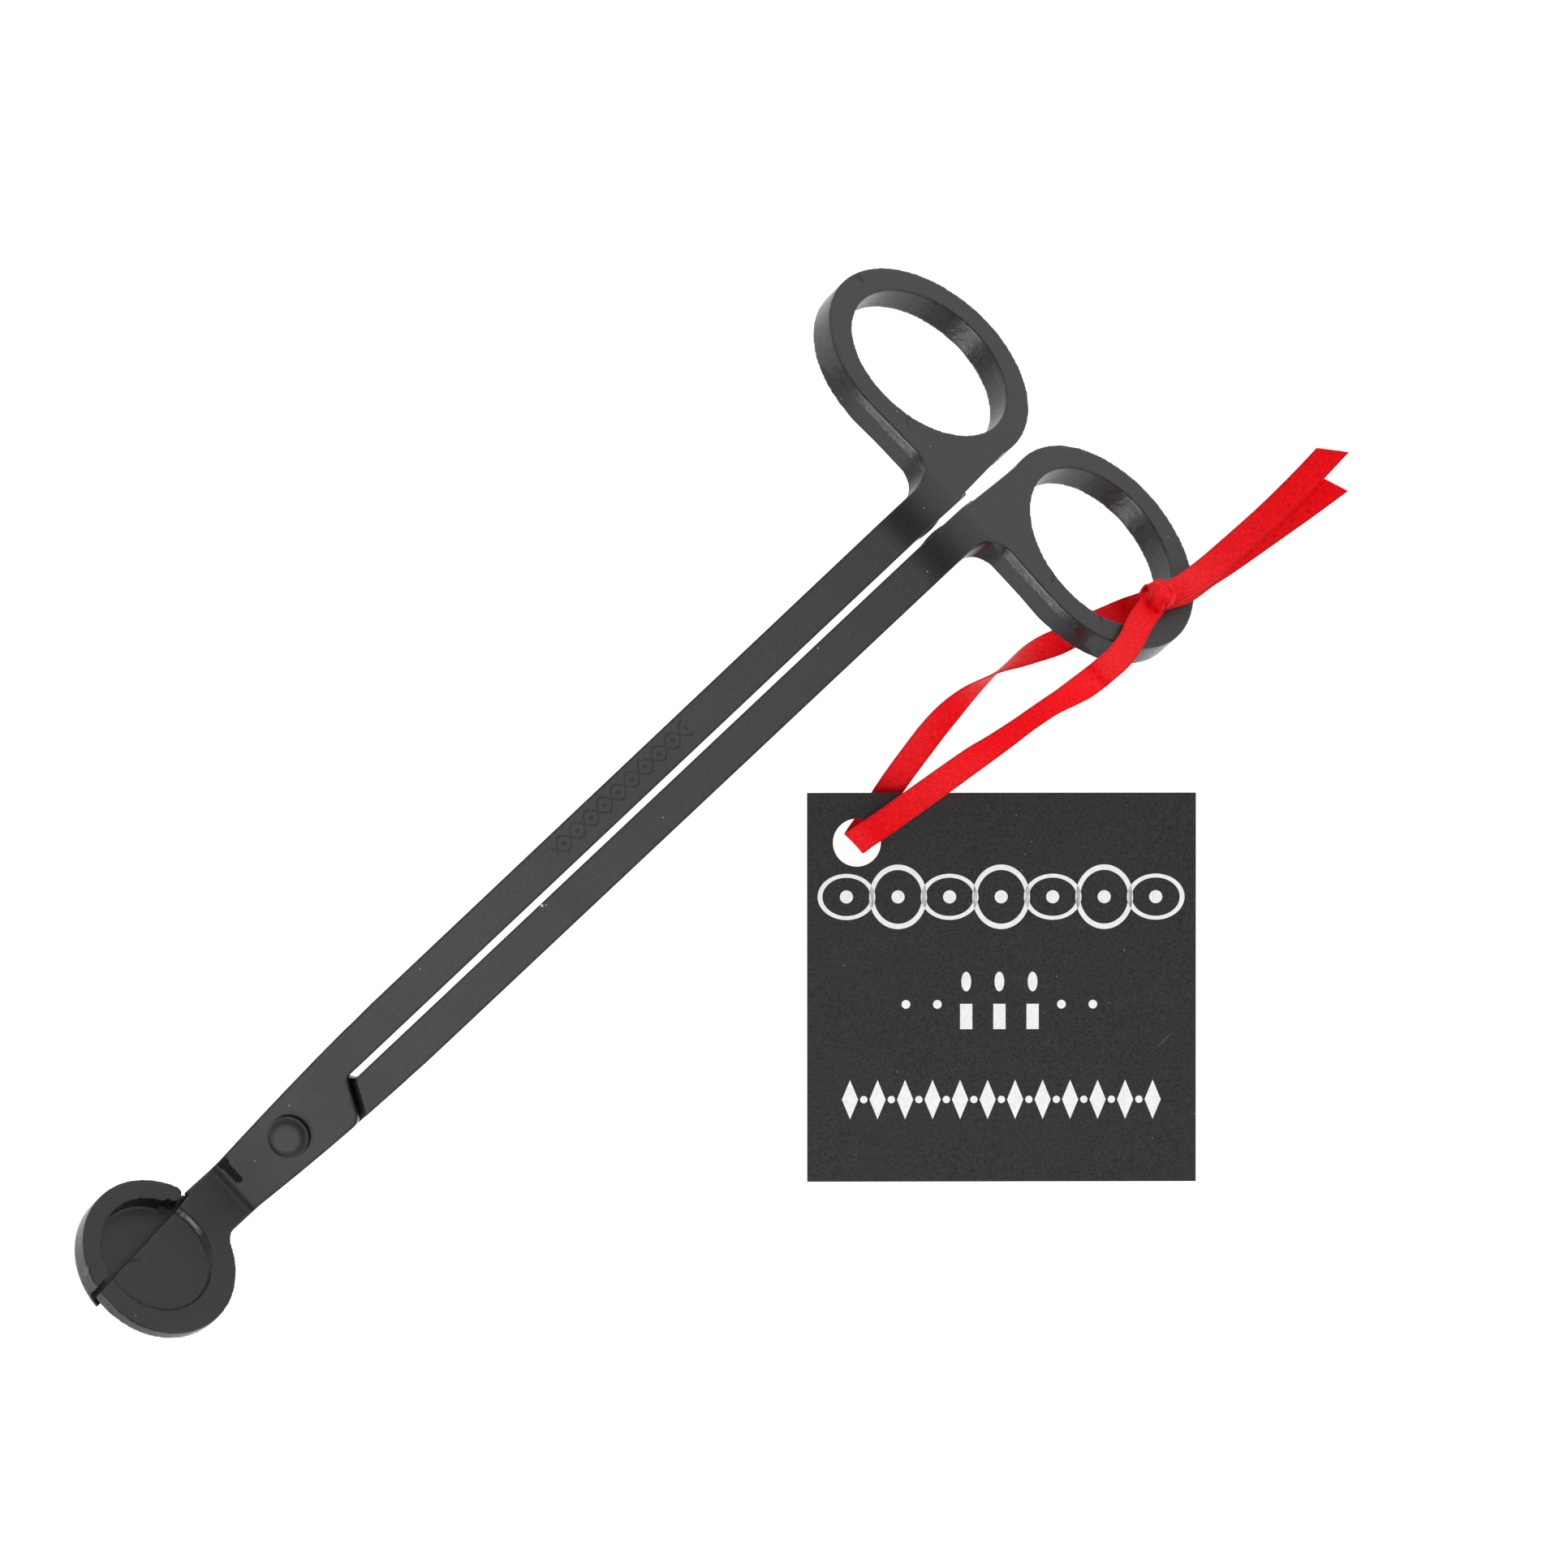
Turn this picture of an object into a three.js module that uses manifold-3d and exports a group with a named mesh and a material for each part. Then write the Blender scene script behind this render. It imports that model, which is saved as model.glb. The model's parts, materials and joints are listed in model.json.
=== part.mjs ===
// Wick trimmer: two forged arms that cross in a half lap at a rivet, with a card tag tied on by a ribbon.
// Millimetres, +Z up. The trimmer rests on its neck bend and on the far ends of its two rings, and
// the origin is the middle of its footprint. +X runs along the arms from the head to the rings.
//
// The arms are first built in the shank's own frame: the pivot axis is Z through the origin, level 0
// is the underside of the stock and level STOCK is its top. The head and the rings are flat in planes
// of their own, turned about Y at the two bends.
import * as THREE from "three";
import { mergeVertices } from "three/addons/utils/BufferGeometryUtils.js";
import Module from "manifold-3d";

const wasm = await Module();
wasm.setup();

const DEGREE = Math.PI / 180;

// Stock and lap
const STOCK = 3.4; // thickness of a shank, a ring and the cup
const UPPER_LAP = 1.45; // thickness of the upper arm's lap, neck and blade
const LOWER_LAP = 1.4; // thickness of the lower arm's lap and neck
const LAP_SLANT = 28 * DEGREE; // the lap's shoulders against the arms' cross direction
const LAP_LENGTH = 9.45; // pivot to the end of a lap, measured on the arms' middle line
const SHOULDER_GAP = 1.05; // between a lap's end and the other arm's shoulder
const LAP_CORNER = 0.9; // rounding of a lap's outer corner

// Shanks
const SHANK_LENGTH = 97.5; // pivot to the start of the ring bend
const SLIT = 0.78; // between the two shanks
const SHANK_EDGE = 4.56; // middle line to a shank's outer edge
const NECK_EDGE = 3.4; // middle line to the neck's edge
const TAPER_START = 17.6; // where the outer edge begins to close in toward the neck

// Bends
const NECK_LENGTH = 8.6; // pivot to the start of the neck bend
const NECK_RADIUS = 1.3; // inner radius of the neck bend, on the top of the stock
const HEAD_BEND = 56 * DEGREE;
const RING_RADIUS = 5.6; // inner radius of the ring bend, on the underside of the stock
const RING_BEND = 62 * DEGREE;
const BEND_STEPS = 12;

// Head
const HEAD_CENTRE = 13.1; // neck bend to the middle of the head
const HEAD_RADIUS = 9.5;
const NECK_FILLET = 2.2;
const DISH_RADIUS = 7.0;
const DISH_SHIFT = 0.38; // the dish sits this far toward the cup's side
const BLADE_DISH_DEPTH = 0.8;
const DISH_DRAFT = 0.5; // how much narrower the blade's dish is at its floor
const EDGE_SLANT = 4 * DEGREE; // cutting edge against the arms' middle line
const EDGE_OFFSET = 2.15; // cutting edge from the middle of the head
const RIM_GAP = 0.6; // cutting edge to the ends of the cup's rim
const CUP_LIP = 0.9; // how far the cup reaches past the cutting edge, under the blade
const CUP_LEVEL = 0.5; // underside of the cup
const CUP_FLOOR = 1.3; // top of the cup's floor
const RIM_ROUNDING = 1.1; // of the rim's end beside the neck
const CUP_ROUNDING = 0.7; // at the foot of the cup's wall

// Finger rings
const RING_LONG = 10.65; // half the hole's long axis
const RING_SHORT = 9.85; // half the hole's short axis
const RING_LEAN = 47 * DEGREE; // long axis against the cross direction
const HOLE_LENGTH = Math.hypot(RING_LONG * Math.sin(RING_LEAN), RING_SHORT * Math.cos(RING_LEAN));
const HOLE_WIDTH = Math.hypot(RING_LONG * Math.cos(RING_LEAN), RING_SHORT * Math.sin(RING_LEAN));
const RING_CENTRE = HOLE_LENGTH + 3.5144; // ring bend to the middle of a ring
const RING_OFFSET = HOLE_WIDTH + 3.9201; // middle line to the middle of a ring
const RING_BAND = 3.05;
const WEB_FILLET = 3.35;
const WEB_SET = 0.25; // how far the web's outer edge stands in from the ring's
const WEB_OPENING = 0.7; // how far each web leans away from the middle line at its ring
const STOP_GAP = 0.3; // between the two stop pads when the arms are closed

// Rivet
const RIVET_SHANK = 1.6;
const RIVET_HEAD = 2.45;
const RIVET_CROWN = 1.1; // height of the head above the plate
const RIVET_FLAT = 1.15;
const RIVET_TAIL = 2.1;
const FIT = 0.3; // clearance round the rivet and between touching pieces
const COUNTERBORE = 0.4;

// Tag and ribbon
const TAG_SIDE = 44.5;
const TAG_THICKNESS = 0.6;
const TAG_HOLE = 2.75;
const TAG_HOLE_INSET = 5.7; // hole centre from the two nearest edges
const TAG_TURN = -43.1 * DEGREE;
const TAG_TILT = 1.4 * DEGREE; // the ribbon under one corner lifts the card
const TAG_CORNER = [24.81, -74.66]; // where the corner farthest from the hole rests
const RIBBON_WIDTH = 3.0;
const RIBBON_THICKNESS = 0.6;
const CLEAR = 0.02; // height of the card's resting corner
const KNOT_PLACE = [66.6, -22.7, 13.4];
const KNOT_RADII = [2.7, 1.7, 1.7];
const KNOT_SLOPE = 45 * DEGREE;

const HOLE_SEGMENTS = 48;

const blackSteel = new THREE.MeshStandardMaterial({ color: 0x26262a, roughness: 0.42, metalness: 0.6 });
const rivetSteel = new THREE.MeshStandardMaterial({ color: 0x303034, roughness: 0.35, metalness: 0.7 });
const blackCard = new THREE.MeshStandardMaterial({ color: 0x1a1a1b, roughness: 0.8, metalness: 0 });
const redSatin = new THREE.MeshStandardMaterial({ color: 0xc00814, roughness: 0.45, metalness: 0 });

// ---- solids ----

function toSolid(geometry) {
  const bare = geometry.clone();
  bare.deleteAttribute("normal");
  bare.deleteAttribute("uv");
  const merged = mergeVertices(bare, 1e-4);
  return new wasm.Manifold(
    new wasm.Mesh({
      numProp: 3,
      vertProperties: new Float32Array(merged.attributes.position.array),
      triVerts: new Uint32Array(merged.index.array),
    }),
  );
}

function toMesh(solid, name, material) {
  const made = solid.getMesh();
  const geometry = new THREE.BufferGeometry();
  geometry.setAttribute("position", new THREE.BufferAttribute(made.vertProperties, 3));
  geometry.setIndex(new THREE.BufferAttribute(made.triVerts, 1));
  const flat = geometry.toNonIndexed();
  flat.computeVertexNormals();
  const mesh = new THREE.Mesh(flat, material);
  mesh.name = name;
  return mesh;
}

// A flat outline raised from one level to another.
function prism(shape, low, high, curveSegments = 24) {
  const geometry = new THREE.ExtrudeGeometry(shape, {
    depth: high - low,
    bevelEnabled: false,
    curveSegments,
  });
  return geometry.translate(0, 0, low);
}

function cylinder(radiusTop, radiusBottom, low, high) {
  const geometry = new THREE.CylinderGeometry(radiusTop, radiusBottom, high - low, HOLE_SEGMENTS);
  return geometry.rotateX(Math.PI / 2).translate(0, 0, (low + high) / 2);
}

// ---- the bent stock, in side view: x along the shank, y its height ----

// The neck bend's centre is above the stock, so the head turns up.
function neckBend(turn, level) {
  const radius = NECK_RADIUS + STOCK - level;
  return new THREE.Vector2(
    -NECK_LENGTH - radius * Math.sin(turn),
    STOCK + NECK_RADIUS - radius * Math.cos(turn),
  );
}

// The ring bend's centre is below the stock, so the rings turn down.
function ringBend(turn, level) {
  const radius = RING_RADIUS + level;
  return new THREE.Vector2(
    SHANK_LENGTH + radius * Math.sin(turn),
    radius * Math.cos(turn) - RING_RADIUS,
  );
}

const headPlane = { origin: neckBend(HEAD_BEND, 0), turn: HEAD_BEND };
const ringPlane = { origin: ringBend(RING_BEND, 0), turn: RING_BEND };

function pointOn(plane, along, level) {
  const cos = Math.cos(plane.turn);
  const sin = Math.sin(plane.turn);
  return new THREE.Vector2(
    plane.origin.x + along * cos + level * sin,
    plane.origin.y - along * sin + level * cos,
  );
}

// Puts geometry drawn flat in the plane's own frame where the plane is.
function onto(plane, geometry) {
  return geometry.rotateY(plane.turn).translate(plane.origin.x, 0, plane.origin.y);
}

// The stations of a bend, as turns from its start to its end.
function bendTurns(angle) {
  return Array.from({ length: BEND_STEPS + 1 }, (_, step) => (angle * step) / BEND_STEPS);
}

// A side view raised across the whole width of the trimmer.
function acrossWidth(points) {
  const halfWidth = RING_OFFSET + RING_LONG + 2 * RING_BAND;
  const geometry = prism(new THREE.Shape(points), -halfWidth, halfWidth);
  return toSolid(geometry.rotateX(Math.PI / 2));
}

// Stock between two levels from the tip of the head to just past the lap.
function lapStock(low, high) {
  const tip = -HEAD_CENTRE - 2 * HEAD_RADIUS;
  const edge = (level) => [
    pointOn(headPlane, tip, level),
    ...bendTurns(HEAD_BEND).reverse().map((turn) => neckBend(turn, level)),
    new THREE.Vector2(LAP_LENGTH + SHANK_EDGE, level),
  ];
  return acrossWidth([...edge(low), ...edge(high).reverse()]);
}

// Full stock from the pivot to the far end of the rings.
function shankStock() {
  const end = RING_CENTRE + RING_LONG + 2 * RING_BAND;
  const edge = (level) => [
    new THREE.Vector2(0, level),
    ...bendTurns(RING_BEND).map((turn) => ringBend(turn, level)),
    pointOn(ringPlane, end, level),
  ];
  return acrossWidth([...edge(0), ...edge(STOCK).reverse()]);
}

// How far a ring reaches from its middle along the arm, and where across the arm that point lies.
function ringReach() {
  const long = RING_LONG + RING_BAND;
  const short = RING_SHORT + RING_BAND;
  const along = Math.hypot(long * Math.sin(RING_LEAN), short * Math.cos(RING_LEAN));
  const across = ((long * long - short * short) * Math.sin(2 * RING_LEAN)) / (2 * along);
  return { along, across };
}

// ---- outlines in plan; side is 1 for the arm whose ring lies toward +Y, -1 for the other ----

// The outer edge of both shanks and of the lap, from the shank to the neck.
function taperTo(shape, side, x, reverse) {
  const control = [8, side * (SHANK_EDGE - 0.06)];
  if (reverse) shape.quadraticCurveTo(...control, x, side * SHANK_EDGE);
  else shape.quadraticCurveTo(...control, x, side * NECK_EDGE);
}

// A point of the lap's slanted end, or of the shoulder that faces it, at a distance from the middle line.
function shoulderX(distance, gap) {
  return LAP_LENGTH + gap / Math.cos(LAP_SLANT) - distance * Math.tan(LAP_SLANT);
}

// The lap: from behind the neck bend to its slanted end, which lies on the other arm's side.
function lapPlan(side) {
  const back = neckBend(HEAD_BEND, 0).x;
  const cornerX = shoulderX(SHANK_EDGE - 0.35, 0);
  const shape = new THREE.Shape();
  shape.moveTo(TAPER_START, (side * SLIT) / 2);
  shape.lineTo(TAPER_START, side * SHANK_EDGE);
  taperTo(shape, side, -NECK_LENGTH, false);
  shape.lineTo(back, side * NECK_EDGE);
  shape.lineTo(back, -side * NECK_EDGE);
  shape.lineTo(-NECK_LENGTH, -side * NECK_EDGE);
  const [endX, endY] = [cornerX - LAP_CORNER, -side * (SHANK_EDGE - 0.28)];
  shape.quadraticCurveTo(0, -side * (NECK_EDGE + 0.66), endX, endY);
  const inner = SHANK_EDGE - 0.35 - LAP_CORNER;
  shape.quadraticCurveTo(cornerX, endY, shoulderX(inner, 0), -side * inner);
  shape.lineTo(shoulderX(0, 0), 0);
  shape.lineTo(shoulderX(0, 0) + SLIT / 2, (side * SLIT) / 2);
  return shape;
}

// The shank: from the shoulder on its own side to past the ring bend.
function shankPlan(side) {
  const end = ringBend(RING_BEND, STOCK).x;
  const inner = SLIT / 2;
  const outer = SHANK_EDGE - 0.22;
  const shape = new THREE.Shape();
  shape.moveTo(shoulderX(inner, SHOULDER_GAP), side * inner);
  shape.lineTo(end, side * inner);
  shape.lineTo(end, side * SHANK_EDGE);
  shape.lineTo(TAPER_START, side * SHANK_EDGE);
  shape.lineTo(shoulderX(outer, SHOULDER_GAP), side * outer);
  return shape;
}

function ringEllipse(side, growth) {
  const curve = new THREE.EllipseCurve(
    RING_CENTRE,
    side * RING_OFFSET,
    RING_SHORT + growth,
    RING_LONG + growth,
    0,
    2 * Math.PI,
    false,
    side * RING_LEAN,
  );
  return new THREE.Shape(curve.getPoints(2 * HOLE_SEGMENTS).slice(1));
}

// The web that joins a shank to its ring, in the rings' plane.
function webPlan(side) {
  const back = -WEB_FILLET - 1;
  const reach = ringReach();
  const filletX = RING_CENTRE - reach.along + WEB_SET - WEB_FILLET;
  const filletY = SHANK_EDGE + WEB_FILLET;
  const steps = Array.from({ length: 9 }, (_, step) => (-90 + step * 11.25) * DEGREE);
  const fillet = steps.map((angle) => [
    filletX + WEB_FILLET * Math.cos(angle),
    filletY + WEB_FILLET * Math.sin(angle),
  ]);
  const points = [
    [back, SLIT / 2],
    [RING_CENTRE, SLIT / 2 + WEB_OPENING],
    [RING_CENTRE, RING_OFFSET],
    [RING_CENTRE - reach.along, RING_OFFSET + reach.across],
    ...fillet.reverse(),
    [back, SHANK_EDGE],
  ];
  return new THREE.Shape(points.map(([x, y]) => new THREE.Vector2(x, side * y)));
}

// ---- the arms ----

function shankAndRing(side) {
  const depth = 2 * RING_RADIUS;
  const shank = toSolid(prism(shankPlan(side), -depth, STOCK + 1));
  const web = toSolid(onto(ringPlane, prism(webPlan(side), -3, STOCK + 2)));
  const ring = toSolid(onto(ringPlane, prism(ringEllipse(side, RING_BAND), -3, STOCK + 2)));
  const hole = toSolid(onto(ringPlane, prism(ringEllipse(side, 0), -4, STOCK + 3)));
  const plan = shank.add(web).add(ring).subtract(hole);
  return shankStock().intersect(plan).add(stopPad(side));
}

// A shallow swelling on the slit's wall at the ring bend, where the two arms meet when closed.
function stopPad(side) {
  const reach = (SLIT - STOP_GAP) / 2;
  const centre = ringBend(RING_BEND / 2, 1.1);
  const pad = new THREE.SphereGeometry(1, 24, 16).scale(2.2, 2 * reach, 1.0);
  pad.rotateY(RING_BEND / 2).translate(centre.x, side * (SLIT / 2 + reach), centre.y);
  return toSolid(pad);
}

// The half of the head's plane past a line parallel to the cutting edge; toward is 1 for the cup's side.
function pastEdge(offset, toward, low, high) {
  const reach = 4 * HEAD_RADIUS;
  const shape = new THREE.Shape([
    new THREE.Vector2(-reach, 0),
    new THREE.Vector2(reach, 0),
    new THREE.Vector2(reach, toward * reach),
    new THREE.Vector2(-reach, toward * reach),
  ]);
  const geometry = prism(shape, low, high).translate(0, offset, 0).rotateZ(EDGE_SLANT);
  return toSolid(onto(headPlane, geometry.translate(-HEAD_CENTRE, 0, 0)));
}

function headDisc(radiusTop, radiusBottom, low, high, shift) {
  const disc = cylinder(radiusTop, radiusBottom, low, high);
  return toSolid(onto(headPlane, disc.translate(-HEAD_CENTRE, shift, 0)));
}

// The neck in the head's plane, with a fillet into the blade's outer edge.
function bladeNeckPlan() {
  const reach = HEAD_RADIUS + NECK_FILLET;
  const drop = NECK_EDGE + NECK_FILLET;
  const filletX = Math.sqrt(reach * reach - drop * drop) - HEAD_CENTRE;
  const endAngle = Math.atan2(drop, -filletX - HEAD_CENTRE);
  const shape = new THREE.Shape();
  shape.moveTo(1.5, NECK_EDGE);
  const along = HEAD_RADIUS - 2.2;
  shape.lineTo(along - HEAD_CENTRE, EDGE_OFFSET + along * Math.tan(EDGE_SLANT) - 0.05);
  shape.lineTo(-HEAD_CENTRE, 0);
  shape.absarc(filletX, -drop, NECK_FILLET, endAngle, Math.PI / 2, true);
  shape.lineTo(1.5, -NECK_EDGE);
  return shape;
}

// What is kept of the upper lap's stock in the head's plane: the neck and half of the disc.
function bladePlan() {
  const disc = headDisc(HEAD_RADIUS, HEAD_RADIUS, -1, STOCK + 1, 0);
  const neck = toSolid(onto(headPlane, prism(bladeNeckPlan(), -1, STOCK + 1)));
  return disc.subtract(pastEdge(EDGE_OFFSET, 1, -2, STOCK + 2)).add(neck);
}

function bladeDish() {
  const low = STOCK - BLADE_DISH_DEPTH;
  const draft = (DISH_DRAFT * (BLADE_DISH_DEPTH + 1)) / BLADE_DISH_DEPTH;
  const top = DISH_RADIUS + draft - DISH_DRAFT;
  return headDisc(top, DISH_RADIUS - DISH_DRAFT, low, STOCK + 1, DISH_SHIFT);
}

function upperArm() {
  const plan = toSolid(prism(lapPlan(1), -1, STOCK + 4)).add(bladePlan());
  const lap = lapStock(STOCK - UPPER_LAP, STOCK).intersect(plan).subtract(bladeDish());
  const bore = toSolid(cylinder(RIVET_SHANK + FIT, RIVET_SHANK + FIT, -1, STOCK + 1));
  return shankAndRing(1).add(lap).subtract(bore);
}

// The cup's outside: a disc whose lower edge is rounded.
function cupBlank() {
  const centre = new THREE.Vector2(HEAD_RADIUS - CUP_ROUNDING, CUP_LEVEL + CUP_ROUNDING);
  const foot = Array.from({ length: 7 }, (_, step) => {
    const angle = (-90 + step * 15) * DEGREE;
    return new THREE.Vector2(
      centre.x + CUP_ROUNDING * Math.cos(angle),
      centre.y + CUP_ROUNDING * Math.sin(angle),
    );
  });
  const profile = [new THREE.Vector2(0, CUP_LEVEL), ...foot, new THREE.Vector2(HEAD_RADIUS, STOCK)];
  const lathe = new THREE.LatheGeometry([...profile, new THREE.Vector2(0, STOCK)], 2 * HOLE_SEGMENTS);
  lathe.rotateX(Math.PI / 2).translate(-HEAD_CENTRE, 0, 0);
  return toSolid(onto(headPlane, lathe));
}

function cupNeckPlan() {
  const side = NECK_EDGE - 0.4;
  const head = HEAD_RADIUS - HEAD_CENTRE;
  return new THREE.Shape([
    new THREE.Vector2(1.5, -side),
    new THREE.Vector2(1.5, side),
    new THREE.Vector2(head + 1, side),
    new THREE.Vector2(head - 2, side + 1.4),
    new THREE.Vector2(-HEAD_CENTRE, side),
    new THREE.Vector2(-HEAD_CENTRE, EDGE_OFFSET),
    new THREE.Vector2(head - 1, -side),
  ]);
}

// The space the blade needs above the cup's floor, rounded where the rim ends beside the neck.
function bladeSpace() {
  const offset = EDGE_OFFSET + RIM_GAP;
  const end = Math.sqrt(HEAD_RADIUS * HEAD_RADIUS - offset * offset) - 0.25;
  const reach = 2 * HEAD_RADIUS;
  const shape = new THREE.Shape();
  shape.moveTo(-reach, -reach);
  shape.lineTo(reach, -reach);
  shape.lineTo(reach, reach);
  shape.lineTo(end, reach);
  shape.absarc(end - RIM_ROUNDING, RIM_ROUNDING, RIM_ROUNDING, 0, -Math.PI, true);
  shape.lineTo(0, RIM_ROUNDING);
  shape.lineTo(0, 0);
  shape.lineTo(-reach, 0);
  const geometry = prism(shape, CUP_FLOOR, STOCK + 1).translate(0, offset, 0).rotateZ(EDGE_SLANT);
  return toSolid(onto(headPlane, geometry.translate(-HEAD_CENTRE, 0, 0)));
}

// Everything above the cup's floor, inside the head's round outline.
function cupSpace() {
  const dish = headDisc(DISH_RADIUS, DISH_RADIUS - 0.2, CUP_FLOOR, STOCK + 1, DISH_SHIFT);
  const outline = headDisc(HEAD_RADIUS + 0.05, HEAD_RADIUS + 0.05, 0, STOCK + 2, 0);
  return dish.add(bladeSpace()).intersect(outline);
}

function lowerArm() {
  const neck = toSolid(onto(headPlane, prism(cupNeckPlan(), -1, LOWER_LAP + 1)));
  const plan = toSolid(prism(lapPlan(-1), -1, STOCK + 4)).add(neck);
  const lap = lapStock(0, LOWER_LAP).intersect(plan);
  const bore = toSolid(cylinder(RIVET_SHANK + FIT, RIVET_SHANK + FIT, -1, STOCK + 1));
  const seat = toSolid(cylinder(RIVET_TAIL + FIT, RIVET_TAIL + FIT, -1, COUNTERBORE));
  const cup = cupBlank().subtract(pastEdge(EDGE_OFFSET - CUP_LIP, -1, -1, STOCK + 1));
  const forging = shankAndRing(-1).add(lap.add(cup).subtract(cupSpace()));
  return forging.subtract(bore).subtract(seat);
}

// The rivet: a crowned head on the upper arm and a low tail in the lower arm's counterbore.
function pivotRivet() {
  const headFoot = STOCK + FIT;
  const tailTop = COUNTERBORE - FIT;
  const crown = Array.from({ length: 6 }, (_, step) => {
    const angle = (step * 90 * DEGREE) / 5;
    return new THREE.Vector2(
      RIVET_FLAT + (RIVET_HEAD - RIVET_FLAT) * Math.cos(angle),
      headFoot + 0.1 + (RIVET_CROWN - FIT - 0.1) * Math.sin(angle),
    );
  });
  const profile = [
    new THREE.Vector2(0, -0.45),
    new THREE.Vector2(RIVET_TAIL - 0.5, -0.45),
    new THREE.Vector2(RIVET_TAIL, tailTop - 0.2),
    new THREE.Vector2(RIVET_TAIL, tailTop),
    new THREE.Vector2(RIVET_SHANK, tailTop),
    new THREE.Vector2(RIVET_SHANK, headFoot),
    new THREE.Vector2(RIVET_HEAD, headFoot),
    ...crown,
    new THREE.Vector2(0, STOCK + RIVET_CROWN),
  ];
  return toSolid(new THREE.LatheGeometry(profile, HOLE_SEGMENTS).rotateX(Math.PI / 2));
}

// ---- resting pose ----

// The slope of the shank when the neck bend and the far ends of the rings touch one plane.
function restSlope() {
  const farEnd = pointOn(ringPlane, RING_CENTRE + ringReach().along, 0);
  const radius = NECK_RADIUS + STOCK;
  const dx = farEnd.x + NECK_LENGTH;
  const dy = farEnd.y - radius;
  return Math.asin(-radius / Math.hypot(dx, dy)) - Math.atan2(dy, dx);
}

const trimmer = new THREE.Group();
trimmer.add(toMesh(lowerArm(), "lower_arm", blackSteel));
trimmer.add(toMesh(upperArm(), "upper_arm", blackSteel));
trimmer.add(toMesh(pivotRivet(), "pivot_rivet", rivetSteel));
trimmer.rotation.y = -restSlope();
const footprint = new THREE.Box3().setFromObject(trimmer, true);
trimmer.position.set(
  -(footprint.min.x + footprint.max.x) / 2,
  -(footprint.min.y + footprint.max.y) / 2,
  -footprint.min.z,
);

// ---- tag and ribbon, in the resting frame ----

function hangTag() {
  const half = TAG_SIDE / 2;
  const inset = half - TAG_HOLE_INSET;
  const shape = new THREE.Shape([
    new THREE.Vector2(-half, -half),
    new THREE.Vector2(half, -half),
    new THREE.Vector2(half, half),
    new THREE.Vector2(-half, half),
  ]);
  const hole = new THREE.Path();
  hole.absarc(-inset, inset, TAG_HOLE, 0, 2 * Math.PI, true);
  shape.holes.push(hole);
  return toSolid(prism(shape, 0, TAG_THICKNESS));
}

// Keeps the ribbon's width across the tool all the way along the path.
function levelFrames(path, steps) {
  const frames = { tangents: [], normals: [], binormals: [] };
  for (let i = 0; i <= steps; i += 1) {
    const along = path.getTangentAt(i / steps);
    const across = new THREE.Vector3(0, 1, 0).addScaledVector(along, -along.y).normalize();
    frames.tangents.push(along);
    frames.normals.push(across);
    frames.binormals.push(new THREE.Vector3().crossVectors(along, across));
  }
  return frames;
}

// A length of ribbon: a flat tube along points chosen by hand.
function ribbon(points, steps) {
  const [w, t] = [RIBBON_WIDTH / 2, RIBBON_THICKNESS / 2];
  const section = new THREE.Shape(
    [
      [w, -t / 2],
      [w, t / 2],
      [w - t, t],
      [t - w, t],
      [-w, t / 2],
      [-w, -t / 2],
      [t - w, -t],
      [w - t, -t],
    ].map(([across, up]) => new THREE.Vector2(across, up)),
  );
  const path = new THREE.CatmullRomCurve3(points.map((point) => new THREE.Vector3(...point)));
  path.computeFrenetFrames = (count) => levelFrames(path, count);
  return toSolid(new THREE.ExtrudeGeometry(section, { steps, extrudePath: path }));
}

// The ribbon and the tag are laid out for a lower ring with its middle at this x and z and its outer
// side at this y, of stock this thick.
const RING_PLACE = [63.388, -24.380, 10.18];
const RING_STOCK = 3.4;

function ringShift() {
  trimmer.updateMatrixWorld(true);
  const middle = pointOn(ringPlane, RING_CENTRE, 0);
  const now = new THREE.Vector3(middle.x, -RING_OFFSET - HOLE_WIDTH, middle.y);
  now.applyMatrix4(trimmer.matrixWorld);
  return now.toArray().map((value, axis) => Math.round((value - RING_PLACE[axis]) * 100) / 100);
}

const RING_SHIFT = ringShift();

// Points at the ring rise with it, and those over its band rise with the band's top face too.
function risen(points, over, near) {
  const level = STOCK - RING_STOCK;
  const slope = RING_BEND - restSlope();
  const rise = [level * Math.sin(slope), 0, level * Math.cos(slope)];
  return points.map(([x, y, z], index) => [
    x + over(index) * rise[0],
    y,
    z + over(index) * rise[2] + near(index) * RING_SHIFT[2],
  ]);
}

// From the knot over the ring's band to the tag, down through its hole, and back under the band.
const loopPoints = [
  [63.9, -23.1, 16.1],
  [62.6, -23.4, 17.6],
  [60.4, -24.1, 20.0],
  [58.2, -24.4, 22.7],
  [56.4, -24.3, 24.9],
  [54.9, -24.2, 26.0],
  [52.9, -24.0, 24.6],
  [51.0, -23.7, 21.4],
  [48.6, -23.2, 17.6],
  [45.7, -22.8, 13.8],
  [42.5, -22.4, 10.6],
  [39.2, -21.9, 8.0],
  [35.3, -21.4, 5.8],
  [31.4, -20.9, 4.3],
  [27.5, -20.4, 3.4],
  [24.3, -19.9, 3.0],
  [22.7, -19.7, 1.9],
  [23.6, -19.4, 0.7],
  [26.2, -18.9, 0.45],
  [30.0, -17.9, 0.6],
  [34.5, -17.0, 1.9],
  [39.5, -16.2, 4.4],
  [44.5, -16.0, 7.6],
  [49.0, -16.6, 11.6],
  [52.2, -17.6, 14.6],
  [55.0, -18.7, 15.9],
  [57.6, -19.4, 14.9],
  [60.2, -20.4, 12.9],
  [62.9, -21.4, 11.7],
];

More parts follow.
